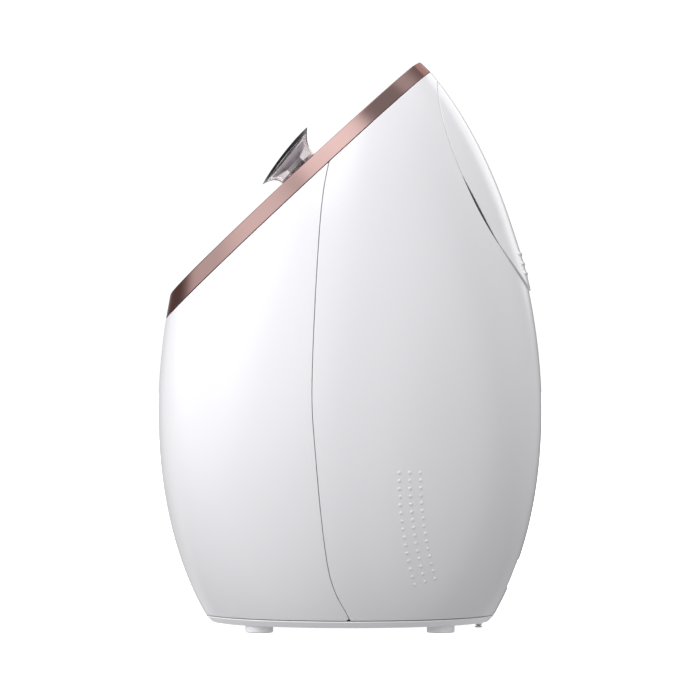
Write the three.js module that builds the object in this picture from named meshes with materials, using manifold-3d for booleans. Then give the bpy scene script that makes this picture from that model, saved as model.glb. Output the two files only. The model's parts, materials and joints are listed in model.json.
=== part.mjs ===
// A free-standing facial steamer: an egg-shaped housing whose top is cut off by a sloped panel,
// with a turning steam nozzle, two buttons, a water tank that pulls out of the back, a boiler
// in the base and a drain plug underneath.
//
// Millimetres. +Z is up, -X is the front where the panel faces, +X is the back where the tank is.
// The origin is on the standing surface, in the middle of the housing.
import * as THREE from "three";
import { mergeVertices } from "three/addons/utils/BufferGeometryUtils.js";
import Module from "manifold-3d";

const wasm = await Module();
wasm.setup();

// ---------------------------------------------------------------- driving dimensions

const GAP = 0.3; // between pieces that touch or are screwed, pushed or glued together
const FAR = 400; // reach of a cutting block, past every side of the housing

const EGG = {
  halfDepth: 94.4, // greatest half depth, along X
  widthRatio: 0.86, // half width over half depth, at every height
  widest: 108, // height of the greatest depth
  above: { reach: 192, power: 1.87, root: 0.606 },
  below: { reach: 150, power: 2.13, root: 0.5 },
  seam: 7.1, // height of the joint between the shells and the base plate
  top: 296,
  sides: 32,
  rows: [4, 8], // facets below and above the widest height
};
const WALL = 2.4;

const SLOPE = {
  angle: 43, // degrees from level
  centre: [-26.9, 0, 222.05], // middle of the trim ring's top face
  ring: 7.4, // height of the trim ring, square to the slope
  panelTop: -1.2, // heights below are counted from the ring's top face
  panelBottom: -3.6,
  flange: -11,
};
const NOZZLE = {
  upSlope: 4,
  baseRadius: 10.8,
  lift: 2.3, // where the trumpet starts
  rimHeight: 11.3,
  rimRadius: 17.8,
  rimTilt: 9,
  rimShift: -0.5, // of the rim's middle, up the slope
  bowlFloor: 6.4,
};
const BUTTON = { radius: 6, downSlope: -46, spread: 12, travel: 1.2 };
const LENS = { radius: 1.6, downSlope: -58 };

// Joint between the front and rear shells, seen from the side: x at each height.
const SHELL_SEAM = [
  [0, 7.1],
  [-10.3, 32],
  [-16.8, 92],
  [-17.9, 128],
  [-15.7, 198],
  [-9.9, 228],
  [-4, 246],
];

const TANK = {
  centre: 210, // height of the widest part of the oval tank opening
  halfWidth: 40,
  up: 60,
  down: 44,
  front: 9.5, // x of the tank's front wall
  wall: 2,
};
const VALVE = { y: 16, z: 193, open: 3 }; // axis of the tank's mouth, and how far it stands open
const BOILER = { x: -26, radius: 27, floor: 15.3, rim: 45 };
const SCREW = { x: 57, y: 17 };
const FOOT = { x: 44, y: 35, radius: 6.75, height: 4 };
const BASE = { bottom: 3.5, top: 6.8, bottomRadius: 68, topRadius: 71.4 };
const DRAIN = { x: 63.4, pipe: 11.5 };
const INLET = { low: 20, high: 34, halfWidth: 11, back: 60, socket: 66, pinSpread: 4.3 };
const PORT = { x: -2, length: 12, feed: [8, 24], drain: [-8, 20] }; // the boiler's two ports
const SPIGOT = { outer: 2.4, bore: 1.5 }; // what the water hoses push over
const STEAM_SPIGOT = { outer: 4.6, bore: 3.4 };

// ---------------------------------------------------------------- materials

function material(color, roughness, metalness = 0, opacity = 1) {
  return new THREE.MeshStandardMaterial({
    color,
    roughness,
    metalness,
    opacity,
    transparent: opacity < 1,
  });
}
const white = material(0xf3f2f4, 0.14);
const baseWhite = material(0xd9d7da, 0.3);
const roseGold = material(0xb58279, 0.16, 1);
const smoke = material(0x6b5d5e, 0.08, 0, 0.55);
const darkSmoke = material(0x37302f, 0.2);
const clear = material(0xe4e9ec, 0.06, 0, 0.4);
const pale = material(0xe6e4e2, 0.45);
const grey = material(0x5c5b60, 0.45);
const rubber = material(0xa3a2a5, 0.7);
const silicone = material(0xd8d4d2, 0.6);
const steel = material(0xb9bcc0, 0.3, 1);
const aluminium = material(0xc4c6c8, 0.4, 1);
const board = material(0x2f6a45, 0.5);
const black = material(0x1d1d20, 0.5);
const ledWhite = material(0xf6f6ee, 0.3);

// ---------------------------------------------------------------- solids and shapes

/** A closed geometry as a manifold-3d solid. */
function solid(geometry) {
  const bare = geometry.clone();
  bare.deleteAttribute("normal");
  bare.deleteAttribute("uv");
  const merged = mergeVertices(bare, 1e-4);
  return new wasm.Manifold(
    new wasm.Mesh({
      numProp: 3,
      vertProperties: merged.attributes.position.array,
      triVerts: new Uint32Array(merged.index.array),
    }),
  );
}

/** A solid back as a geometry, with normals. */
function geometryOf(made) {
  const mesh = made.getMesh();
  const geometry = new THREE.BufferGeometry();
  geometry.setAttribute("position", new THREE.BufferAttribute(mesh.vertProperties, 3));
  geometry.setIndex(new THREE.BufferAttribute(mesh.triVerts, 1));
  const flat = geometry.toNonIndexed();
  flat.computeVertexNormals();
  return flat;
}

const join = (first, ...rest) => rest.reduce((whole, s) => whole.add(s), first);
const cut = (first, ...rest) => rest.reduce((whole, s) => whole.subtract(s), first);
const common = (first, ...rest) => rest.reduce((whole, s) => whole.intersect(s), first);

/** A block from its lowest to its highest corner. */
function block(low, high) {
  const size = high.map((h, i) => h - low[i]);
  const middle = high.map((h, i) => (h + low[i]) / 2);
  return new THREE.BoxGeometry(...size).translate(...middle);
}

/** Turns a closed outline of [radius, height] points about the Z axis. */
function revolve(outline, sides = 24) {
  const area = outline.reduce((sum, [r, h], i) => {
    const [nextR, nextH] = outline[(i + 1) % outline.length];
    return sum + r * nextH - nextR * h;
  }, 0);
  const ordered = area > 0 ? [...outline] : [...outline].reverse();
  const onAxis = ordered.findIndex(([r], i) => {
    const before = ordered[(i + ordered.length - 1) % ordered.length];
    return r === 0 && before[0] === 0;
  });
  const points =
    onAxis < 0
      ? [...ordered, ordered[0]]
      : [...ordered.slice(onAxis), ...ordered.slice(0, onAxis)];
  const profile = points.map(([r, h]) => new THREE.Vector2(r, h));
  return new THREE.LatheGeometry(profile, sides).rotateX(Math.PI / 2);
}

/** A round bar between two heights. */
const bar = (radius, low, high, sides = 16) =>
  revolve([[0, low], [radius, low], [radius, high], [0, high]], sides);

/** A straight tube between two heights. */
const tube = (inner, outer, low, high, sides = 20) =>
  revolve([[inner, low], [outer, low], [outer, high], [inner, high]], sides);

/** Lays a geometry made about the Z axis along X, with its heights as x. */
const alongX = (geometry, y, z) => geometry.rotateY(Math.PI / 2).translate(0, y, z);

/** A hose of ring section along a smooth curve through the points. */
function hose(points, outer, inner, steps, sides = 8) {
  const section = new THREE.Shape();
  section.absarc(0, 0, outer, 0, 2 * Math.PI);
  const bore = new THREE.Path();
  bore.absarc(0, 0, inner, 0, 2 * Math.PI, true);
  section.holes.push(bore);
  const route = new THREE.CatmullRomCurve3(points.map((p) => new THREE.Vector3(...p)));
  return new THREE.ExtrudeGeometry(section, {
    steps,
    curveSegments: sides / 2,
    extrudePath: route,
  });
}

// ---------------------------------------------------------------- the egg and its cuts

/** Half depth of the egg's outer surface at a height. */
function eggRadius(z) {
  const side = z > EGG.widest ? EGG.above : EGG.below;
  const share = Math.min(Math.abs(z - EGG.widest) / side.reach, 1);
  return EGG.halfDepth * (1 - share ** side.power) ** side.root;
}

/** The solid egg, with its surface drawn in by an inset and its foot at a height. */
function egg(inset, foot = EGG.seam) {
  const radiusAt = (z) => Math.max(eggRadius(z) - inset, 0.5);
  const outline = [[0, foot]];
  if (foot < EGG.seam) outline.push([radiusAt(EGG.seam), foot]);
  const [low, high] = EGG.rows;
  for (let i = -low; i <= high; i += 1) {
    const reach = i < 0 ? (EGG.widest - EGG.seam) / low : (EGG.top - EGG.widest) / high;
    const z = EGG.widest + reach * i;
    outline.push([radiusAt(z), z]);
  }
  outline.push([0, EGG.top]);
  return solid(revolve(outline, EGG.sides).scale(1, EGG.widthRatio, 1));
}

const inside = {}; // eggs by inset, made once each
/** The inside of the housing at an inset, running down past the seam. */
function core(inset) {
  inside[inset] ??= egg(inset, -20);
  return inside[inset];
}

const slopeFrame = new THREE.Matrix4()
  .makeRotationY(-THREE.MathUtils.degToRad(SLOPE.angle))
  .setPosition(...SLOPE.centre);

/** Everything under the plane at a height above the ring's top face. */
const below = (height) =>
  solid(block([-FAR, -FAR, height - FAR], [FAR, FAR, height]).applyMatrix4(slopeFrame));

/** A layer parallel to the slope. */
const layer = (low, high) =>
  solid(block([-FAR, -FAR, low], [FAR, FAR, high]).applyMatrix4(slopeFrame));

/** A point of the slope's middle plane, up the slope and out of it, in the housing's frame. */
const slopePoint = (up, out) => new THREE.Vector3(up, 0, out).applyMatrix4(slopeFrame).toArray();

/** A solid given in the slope's own frame, brought into the housing's frame. */
const onSlope = (geometry) => solid(geometry.applyMatrix4(slopeFrame));

/** Everything in front of (-1) or behind (1) the seam between the shells. */
function seamSide(side) {
  const route = new THREE.SplineCurve(SHELL_SEAM.map(([x, z]) => new THREE.Vector2(x, z)));
  const line = route.getPoints(14).map((p) => [p.x + (side * GAP) / 2, p.y]);
  const first = line[0];
  const last = line[line.length - 1];
  const outline = new THREE.Shape();
  outline.moveTo(first[0], -50);
  line.forEach(([x, z]) => outline.lineTo(x, z));
  outline.lineTo(last[0], FAR);
  outline.lineTo(side * FAR, FAR);
  outline.lineTo(side * FAR, -50);
  const depth = 2 * FAR;
  const wide = new THREE.ExtrudeGeometry(outline, { depth, bevelEnabled: false });
  return solid(wide.rotateX(Math.PI / 2).translate(0, FAR, 0));
}

const OVAL_SIDES = 32;

/** The oval of the tank opening, drawn in by an inset, as a prism along X from an x. */
function tankPrism(inset, from) {
  const outline = new THREE.Shape();
  const width = TANK.halfWidth - inset;
  for (let i = 0; i < OVAL_SIDES; i += 1) {
    const angle = (2 * Math.PI * i) / OVAL_SIDES;
    const height = (angle < Math.PI ? TANK.up : TANK.down) - inset;
    const at = [width * Math.cos(angle), TANK.centre + height * Math.sin(angle)];
    if (i) outline.lineTo(...at);
    else outline.moveTo(...at);
  }
  const depth = 160 - from;
  const prism = new THREE.ExtrudeGeometry(outline, { depth, bevelEnabled: false });
  const turn = new THREE.Matrix4().makeBasis(
    new THREE.Vector3(0, 1, 0),
    new THREE.Vector3(0, 0, 1),
    new THREE.Vector3(1, 0, 0),
  );
  return solid(prism.applyMatrix4(turn).translate(from, 0, 0));
}

// ---------------------------------------------------------------- the scene graph

const group = new THREE.Group();
const slope = new THREE.Group();
slope.position.set(...SLOPE.centre);
slope.rotation.y = -THREE.MathUtils.degToRad(SLOPE.angle);
group.add(slope);
const nozzle = new THREE.Group();
nozzle.position.x = NOZZLE.upSlope;
slope.add(nozzle);

/** Adds a named piece, given as a geometry or as a solid. */
function piece(name, shape, finish, parent = group) {
  const geometry = shape.isBufferGeometry ? shape : geometryOf(shape);
  const mesh = new THREE.Mesh(geometry, finish);
  mesh.name = name;
  parent.add(mesh);
  return mesh;
}

/** Calls make(x sign, y sign, "front_left" and so on) for the four corners. */
function corners(make) {
  for (const [sx, end] of [[-1, "front"], [1, "rear"]]) {
    for (const [sy, hand] of [[-1, "left"], [1, "right"]]) make(sx, sy, `${end}_${hand}`);
  }
}

// ---------------------------------------------------------------- housing

/** The screw boss of one corner and the rib that ties it to the wall. */
function boss(sx, sy) {
  const post = bar(4.5, EGG.seam, 17, 16).translate(sx * SCREW.x, sy * SCREW.y, 0);
  const out = Math.atan2(sy * SCREW.y, sx * SCREW.x);
  const rib = block([0, -1, 11], [12, 1, 17])
    .rotateZ(out)
    .translate(sx * SCREW.x, sy * SCREW.y, 0);
  const hole = bar(1.8, 0, 15.5, 12).translate(sx * SCREW.x, sy * SCREW.y, 0);
  return { post: common(join(solid(post), solid(rib)), core(0.6)), hole: solid(hole) };
}

const bosses = {};
corners((sx, sy, name) => {
  bosses[name] = boss(sx, sy);
});
const inletCut = solid(
  block(
    [INLET.back, -INLET.halfWidth - GAP, INLET.low - GAP],
    [120, INLET.halfWidth + GAP, INLET.high + GAP],
  ),
);

/** One of the two outer shells, up to the trim ring. */
function shell(side, end) {
  const left = bosses[`${end}_left`];
  const right = bosses[`${end}_right`];
  const skin = common(cut(egg(0), core(WALL)), seamSide(side), below(-SLOPE.ring - GAP));
  return cut(join(skin, left.post, right.post), left.hole, right.hole);
}

piece("front_shell", shell(-1, "front"), white);
piece("rear_shell", cut(shell(1, "rear"), tankPrism(0, 5), inletCut), white);

/** The plated ring, with a flange that drops inside the shells. */
function trimRing() {
  const band = common(cut(egg(0), core(3.2)), layer(-SLOPE.ring, 0));
  const flange = common(cut(core(WALL + GAP), core(5.2)), layer(SLOPE.flange, -4));
  return join(band, flange);
}
piece("trim_ring", trimRing(), roseGold);

/** Drills the panel in the slope's own frame. */
const panelHole = (radius, x, y) =>
  onSlope(bar(radius, SLOPE.panelBottom - 1, SLOPE.panelTop + 1, 24).translate(x, y, 0));

function facePanel() {
  const plate = common(core(3.5), layer(SLOPE.panelBottom, SLOPE.panelTop));
  const holes = [panelHole(14.3, NOZZLE.upSlope, 0), panelHole(LENS.radius + GAP, LENS.downSlope, 0)];
  for (const sy of [-1, 1]) {
    holes.push(panelHole(BUTTON.radius + GAP, BUTTON.downSlope, sy * BUTTON.spread));
  }
  const posts = [];
  for (const [x, y] of [[-62, -20], [-62, 20], [-36, -20], [-36, 20]]) {
    posts.push(onSlope(bar(2, -14, SLOPE.panelBottom + 1, 12).translate(x, y, 0)));
  }
  return cut(join(plate, ...posts), ...holes);
}
piece("face_panel", facePanel(), pale);

/** The base plate, with posts for the heater and the power board, and its drilled holes. */
function basePlate() {
  const plate = revolve(
    [[0, BASE.bottom], [BASE.bottomRadius, BASE.bottom], [BASE.topRadius, BASE.top], [0, BASE.top]],
    EGG.sides,
  ).scale(1, EGG.widthRatio, 1);
  const posts = [];
  for (let i = 0; i < 3; i += 1) {
    const angle = (2 * Math.PI * i) / 3;
    const x = BOILER.x + 17 * Math.cos(angle);
    posts.push(solid(bar(3, 6, 11.7, 12).translate(x, 17 * Math.sin(angle), 0)));
  }
  for (const [x, y] of [[17, 17], [43, 17], [17, 37], [43, 37]]) {
    posts.push(solid(bar(2.2, 6, 13.7, 12).translate(x, y, 0)));
  }
  const holes = [solid(bar(2.3, 0, 10, 16).translate(DRAIN.x, 0, 0))];
  corners((sx, sy) => {
    const [x, y] = [sx * SCREW.x, sy * SCREW.y];
    holes.push(solid(bar(1.9, 0, 10, 12).translate(x, y, 0)));
    holes.push(solid(bar(3.4, 0, 5, 16).translate(x, y, 0)));
    holes.push(
      solid(bar(FOOT.radius + GAP, 0, FOOT.height + GAP).translate(sx * FOOT.x, sy * FOOT.y, 0)),
    );
  });
  return cut(join(solid(plate), ...posts), ...holes);
}
piece("base_plate", basePlate(), baseWhite);

corners((sx, sy, name) => {
  const edge = FOOT.radius;
  const pad = revolve(
    [[0, 0], [edge - 0.7, 0], [edge, 0.7], [edge, FOOT.height], [0, FOOT.height]],
    20,
  );
  piece(`foot_${name}`, pad, rubber).position.set(sx * FOOT.x, sy * FOOT.y, 0);
  const screw = revolve(
    [[0, 3.7], [3.1, 3.7], [3.1, 4.7], [1.5, 4.7], [1.5, 14.5], [0, 15.2]],
    10,
  );
  piece(`base_screw_${name}`, screw, steel).position.set(sx * SCREW.x, sy * SCREW.y, 0);
});

// ---------------------------------------------------------------- panel: collar, lens, switches

piece(
  "nozzle_collar",
  revolve([
    [STEAM_SPIGOT.bore, -16],
    [STEAM_SPIGOT.outer, -16],
    [STEAM_SPIGOT.outer, -9],
    [14, -9],
    [14, SLOPE.panelTop + GAP],
    [17, SLOPE.panelTop + GAP],
    [16.4, 0.6],
    [10.9, 0.6],
    [10.9, -7.5],
    [STEAM_SPIGOT.bore, -7.5],
  ], 28),
  white,
  nozzle,
);

piece("indicator_lens", bar(LENS.radius, -3.9, -0.9, 16), clear, slope).position.x =
  LENS.downSlope;
piece("indicator_led", block([-1.5, -1.5, -14], [1.5, 1.5, -12]), ledWhite, slope).position.x =
  LENS.downSlope;
piece("control_board", block([-66, -24, -15.9], [-33, 24, -14.3]), board, slope);

for (const [name, sy] of [["power", -1], ["mode", 1]]) {
  const top = SLOPE.panelTop + 0.6;
  const cap = revolve([
    [0, -9],
    [2, -9],
    [2, -5],
    [BUTTON.radius + 1.2, -5],
    [BUTTON.radius + 1.2, -4],
    [BUTTON.radius, -4],
    [BUTTON.radius, top - 0.5],
    [BUTTON.radius - 0.5, top],
    [0, top],
  ], 20);
  piece(`${name}_button`, cap, white, slope)
    .position.set(BUTTON.downSlope, sy * BUTTON.spread, 0);
  const body = join(
    solid(block([-3, -3, -14], [3, 3, -11])),
    solid(bar(1.6, -11.5, -10.4, 12)),
  );
  piece(`${name}_switch`, body, black, slope)
    .position.set(BUTTON.downSlope, sy * BUTTON.spread, 0);
}

// ---------------------------------------------------------------- nozzle, turning on the slope

piece(
  "nozzle_base",
  revolve([
    [7.5, -6.5],
    [10.6, -6.5],
    [10.6, -3.9],
    [9.4, -3.9],
    [9.4, -2.1],
    [10.6, -2.1],
    [10.6, 2],
    [7.5, 2],
  ], 24),
  darkSmoke,
  nozzle,
);
piece("nozzle_o_ring", tube(9.7, 10.4, -3.6, -2.4, 24), silicone, nozzle);

/** Turns an outline and leans its upper rings, until the rim is tilted to the front. */
function leaned(outline) {
  const { lift, rimHeight, rimTilt, rimShift } = NOZZLE;
  const turned = revolve(outline, 24);
  const place = turned.getAttribute("position");
  for (let i = 0; i < place.count; i += 1) {
    const x = place.getX(i);
    const z = place.getZ(i);
    const share = Math.max(z - lift, 0) / (rimHeight - lift);
    const tilt = THREE.MathUtils.degToRad(rimTilt) * share;
    place.setX(i, x * Math.cos(tilt) + rimShift * share);
    place.setZ(i, z + x * Math.sin(tilt));
  }
  return turned;
}

/** The outer trumpet: a neck and a thin flare that ends in a sharp rim. */
function horn() {
  const { lift, rimHeight, rimRadius, baseRadius } = NOZZLE;
  const wall = 1.2;
  const outer = [];
  const inner = [];
  for (const t of [0, 0.2, 0.4, 0.6, 0.8, 0.9, 1]) {
    const spread = rimRadius - baseRadius;
    const radius = baseRadius + spread * t ** 2.5;
    const height = lift + (rimHeight - lift) * t;
    const lean = Math.atan((2.5 * spread * t ** 1.5) / (rimHeight - lift));
    outer.push([radius, height]);
    const above = Math.max(height + wall * Math.sin(lean), lift + 0.9);
    if (t < 0.9) inner.unshift([radius - wall * Math.cos(lean), above]);
  }
  const neck = [[6, -1], [7.2, -1], [7.2, lift]];
  return leaned([...neck, ...outer, [15.1, rimHeight], ...inner, [6, lift + 0.9]]);
}
piece("nozzle_horn", horn(), smoke, nozzle);

/** The shallow bowl inside the trumpet, around the steam outlet. */
function bowl() {
  const dish = (r) => [r, NOZZLE.bowlFloor + 0.0205 * r ** 2];
  const under = (r) => [r, NOZZLE.bowlFloor - 1.1 + 0.0205 * r ** 2];
  return leaned([
    [STEAM_SPIGOT.bore, 1],
    [STEAM_SPIGOT.outer, 1],
    ...[4.6, 7, 9, 10.5].map(under),
    [11.5, 8.7],
    ...[11.9, 9.5, 6.4, 3.4].map(dish),
  ]);
}
piece("nozzle_bowl", bowl(), smoke, nozzle);

// ---------------------------------------------------------------- boiler and its pipes

piece("heater_plate", bar(22, 12, 15, 32), aluminium).position.x = BOILER.x;
piece("thermostat", bar(8, 7.4, 11.7, 20), black).position.x = BOILER.x;
piece("thermal_fuse", block([-3, 12, 9], [3, 15, 11.6]), pale).position.x = BOILER.x + 8;

/** The boiling cup, with a feed port and a drain port in its back. */
function boilerCup() {
  const { floor, rim, radius } = BOILER;
  const cup = revolve([
    [0, floor],
    [radius, floor],
    [radius, rim],
    [radius - 2, rim],
    [radius - 2, floor + 2],
    [0, floor + 2],
  ], 28).translate(BOILER.x, 0, 0);
  const ports = [];
  const bores = [];
  const end = PORT.x + PORT.length;
  for (const [y, z] of [PORT.feed, PORT.drain]) {
    ports.push(solid(alongX(bar(SPIGOT.outer, PORT.x, end), y, z)));
    bores.push(solid(alongX(bar(SPIGOT.bore, PORT.x - 4, end + 1, 12), y, z)));
  }
  return cut(join(solid(cup), ...ports), ...bores);
}
piece("boiler_cup", boilerCup(), aluminium);
piece("boiler_gasket", tube(24, 27, BOILER.rim + GAP, BOILER.rim + 2), silicone).position.x =
  BOILER.x;

const lidScrewPlaces = [0, 1, 2].map((i) => {
  const angle = Math.PI / 2 + (2 * Math.PI * i) / 3;
  return [28.6 * Math.cos(angle), 28.6 * Math.sin(angle)];
});

/** The lid with its steam outlet and three holes for the screws. */
function boilerLid() {
  const low = BOILER.rim + 2 + GAP;
  const lid = solid(revolve([
    [STEAM_SPIGOT.bore, low],
    [30.5, low],
    [30.5, low + 2],
    [16, low + 3.5],
    [STEAM_SPIGOT.outer, low + 5],
    [STEAM_SPIGOT.outer, low + 14],
    [STEAM_SPIGOT.bore, low + 14],
  ], 28));
  return cut(lid, ...lidScrewPlaces.map(([x, y]) => solid(bar(1.2, 0, 90, 12).translate(x, y, 0))));
}
piece("boiler_lid", boilerLid(), pale).position.x = BOILER.x;
lidScrewPlaces.forEach(([x, y], i) => {
  const top = BOILER.rim + 5.5;
  const screw = revolve([
    [0, top - 14],
    [0.9, top - 13],
    [0.9, top - 0.6],
    [2, top - 0.6],
    [2, top + 0.8],
    [0, top + 0.8],
  ], 8);
  piece(`lid_screw_${i + 1}`, screw, steel).position.set(BOILER.x + x, y, 0);
});

piece(
  "steam_tube",
  hose([
    slopePoint(NOZZLE.upSlope, -9.5),
    slopePoint(NOZZLE.upSlope, -13),
    slopePoint(NOZZLE.upSlope, -16),
    slopePoint(NOZZLE.upSlope, -18.5),
    [-9.5, -3, 204],
    [-12, -11, 192],
    [-20, -12, 160],
    [-26, -6, 110],
    [BOILER.x, 0, 75],
    [BOILER.x, 0, 64],
    [BOILER.x, 0, 53.2],
  ], 7, 5.5, 18, 10),
  silicone,
);
piece(
  "feed_hose",
  hose([
    [-9.6, VALVE.y, VALVE.z - 5],
    [-13, VALVE.y, VALVE.z - 5],
    [-17, VALVE.y, VALVE.z - 5],
    [-25, VALVE.y, 178],
    [-20, 17, 140],
    [6, 14, 90],
    [22, 9, 50],
    [23, 8, 32],
    [14, 8, 24],
    [8, 8, 24],
    [2.5, 8, 24],
  ], 4.2, 3.2, 30),
  silicone,
);
piece(
  "drain_hose",
  hose([
    [2.5, -8, 20],
    [8, -8, 20],
    [13, -8, 19.5],
    [28, -4, 13.5],
    [42, -0.5, DRAIN.pipe],
    [48, 0, DRAIN.pipe],
    [54, 0, DRAIN.pipe],
  ], 4.1, 3.2, 14),
  silicone,
);

// ---------------------------------------------------------------- drain

/** The spout through the base plate, turning forward into a barb for the hose. */
function drainSpout() {
  const down = bar(1.9, 1.9, DRAIN.pipe + 1.9, 16);
  const collar = bar(4.2, EGG.seam, 8.4, 20);
  const barb = alongX(bar(SPIGOT.outer, -14, 0), 0, DRAIN.pipe);
  const bores = [bar(1, 0, DRAIN.pipe, 12), alongX(bar(1.2, -15, 0, 12), 0, DRAIN.pipe)];
  return cut(join(...[down, collar, barb].map(solid)), ...bores.map(solid));
}
piece("drain_spout", drainSpout(), baseWhite).position.x = DRAIN.x;
piece(
  "drain_plug",
  revolve([
    [0, 0.3],
    [1.7, 0.3],
    [1.9, 0.6],
    [1.9, 1],
    [1.1, 1.2],
    [1.1, 1.4],
    [1.6, 1.6],
    [0.7, 1.61],
    [0.7, 5],
    [0, 5.4],
  ], 14),
  silicone,
).position.x = DRAIN.x;

// ---------------------------------------------------------------- power

/** The two-pole inlet: a block whose face follows the shell, around a deep socket. */
function powerInlet() {
  const { back, halfWidth, low, high } = INLET;
  const nose = common(solid(block([back, -halfWidth, low], [120, halfWidth, high])), core(GAP));
  const flange = common(
    solid(block([back, -halfWidth - 2, low - 2], [120, halfWidth + 2, high + 2])),
    core(WALL + GAP),
  );
  const middle = (low + high) / 2;
  const socket = [solid(block([INLET.socket, -4.3, middle - 4.3], [120, 4.3, middle + 4.3]))];
  for (const sy of [-1, 1]) {
    const y = sy * INLET.pinSpread;
    socket.push(solid(alongX(bar(4.3, INLET.socket, 120, 24), y, middle)));
    socket.push(solid(alongX(bar(1.5, 50, 80, 12), y, middle)));
  }
  return cut(join(nose, flange), ...socket);
}
piece("power_inlet", powerInlet(), black);
for (const [name, sy] of [["left", -1], ["right", 1]]) {
  const pin = alongX(
    bar(1.2, 57, 75, 16),
    sy * INLET.pinSpread,
    (INLET.low + INLET.high) / 2,
  );
  piece(`inlet_pin_${name}`, pin, steel);
}
piece("power_board", block([14, 14, 14], [46, 40, 15.6]), board);

// ---------------------------------------------------------------- tank bay

/** The liner of the bay: an oval tray with a round pocket for the tank's cap. */
function tankBay() {
  const tray = common(tankPrism(-0.8, 6.5), core(WALL + GAP), below(-11.6));
  const pocket = solid(alongX(bar(15.3, -9, 8, 24), VALVE.y, VALVE.z));
  const room = common(tankPrism(1.2, 8), below(-13.1));
  const pocketRoom = solid(alongX(bar(13.8, -7.5, 9, 24), VALVE.y, VALVE.z));
  const hollow = cut(join(tray, pocket), join(room, pocketRoom));
  const spigot = solid(alongX(bar(SPIGOT.outer, -17, -8), VALVE.y, VALVE.z - 5));
  const post = solid(alongX(bar(2, -8.5, -6.3, 12), VALVE.y, VALVE.z));
  const bore = solid(alongX(bar(SPIGOT.bore, -18, -7, 12), VALVE.y, VALVE.z - 5));
  return cut(join(hollow, spigot, post), bore);
}
piece("tank_bay", tankBay(), grey);
piece("dock_seal", alongX(tube(8, 10.5, -7.2, -3.3, 24), VALVE.y, VALVE.z), silicone);

// ---------------------------------------------------------------- tank, pulled out to the back

piece(
  "tank_cover",
  common(cut(egg(0), core(WALL)), tankPrism(0.4, 5)),
  white,
);

/** The water vessel behind the cover, open to the front. */
function tankBody() {
  const from = TANK.front + TANK.wall + GAP;
  const outside = common(tankPrism(2.7, from), core(WALL + GAP), below(-14.3));
  const water = common(
    tankPrism(2.7 + TANK.wall, 5),
    core(WALL + GAP + TANK.wall),
    below(-14.3 - TANK.wall),
  );
  return cut(outside, water);
}
piece("tank_body", tankBody(), clear);

/** The wall that closes the vessel, with its round mouth facing the dock. */
function tankFront() {
  const { front, wall } = TANK;
  const plate = common(
    tankPrism(2.7, front),
    core(WALL + GAP),
    below(-14.3),
    solid(block([front, -FAR, 0], [front + wall, FAR, FAR])),
  );
  const neck = solid(alongX(bar(9, 0.8, front + 1, 20), VALVE.y, VALVE.z));
  const mouth = solid(alongX(bar(7.4, 0, front + wall + 1, 20), VALVE.y, VALVE.z));
  return cut(join(plate, neck), mouth);
}
piece("tank_front", tankFront(), clear);

/** Adds a piece turned about the valve's axis, its outline in [radius, x] points. */
const onValve = (name, geometry, finish) => piece(name, alongX(geometry, VALVE.y, VALVE.z), finish);

onValve(
  "tank_cap",
  revolve([
    [3.4, -3],
    [12, -3],
    [12, 8],
    [9.3, 8],
    [9.3, -1],
    [3.4, -1],
  ], 24),
  pale,
);
onValve("cap_seal", tube(7.6, 9, -0.7, 0.5, 24), silicone);

/** The cage that holds the spring: a ring, three struts and a guide at the far end. */
function valveCage() {
  const ring = tube(6, 7.1, -0.7, 0.6, 18);
  const guide = tube(2.6, 7.1, 12.5, 14, 18);
  const struts = [0, 1, 2].map((i) =>
    block([6, -1, 0], [7, 1, 13]).rotateZ((2 * Math.PI * i) / 3),
  );
  return join(...[ring, guide, ...struts].map(solid));
}
onValve("valve_cage", geometryOf(valveCage()), pale);
onValve(
  "valve_plunger",
  revolve([
    [0, -6],
    [2.2, -6],
    [2.2, VALVE.open - 0.7],
    [5.2, VALVE.open - 0.7],
    [5.2, VALVE.open + 0.8],
    [2.2, VALVE.open + 0.8],
    [2.2, 14],
    [0, 14],
  ], 16),
  darkSmoke,
);

/** The coil spring between the plunger's disc and the cage's guide. */
function valveSpring() {
  const turns = 4;
  const start = VALVE.open + 1.6;
  const length = 12.2 - start - 0.5;
  const points = [];
  for (let i = 0; i <= turns * 8; i += 1) {
    const angle = (2 * Math.PI * i) / 8;
    const along = start + (length * i) / (turns * 8);
    points.push(new THREE.Vector3(3.6 * Math.cos(angle), 3.6 * Math.sin(angle), along));
  }
  const wire = new THREE.Shape();
  wire.absarc(0, 0, 0.4, 0, 2 * Math.PI);
  return new THREE.ExtrudeGeometry(wire, {
    steps: turns * 8,
    curveSegments: 3,
    extrudePath: new THREE.CatmullRomCurve3(points),
  });
}
onValve("valve_spring", valveSpring(), steel);

export default group;
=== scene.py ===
"""The looks of the facial steamer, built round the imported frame.

Metres, in the CAD's frame: +Z up, -X the front with the sloped panel, +X the back with the tank.
"""
import json
import math

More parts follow.
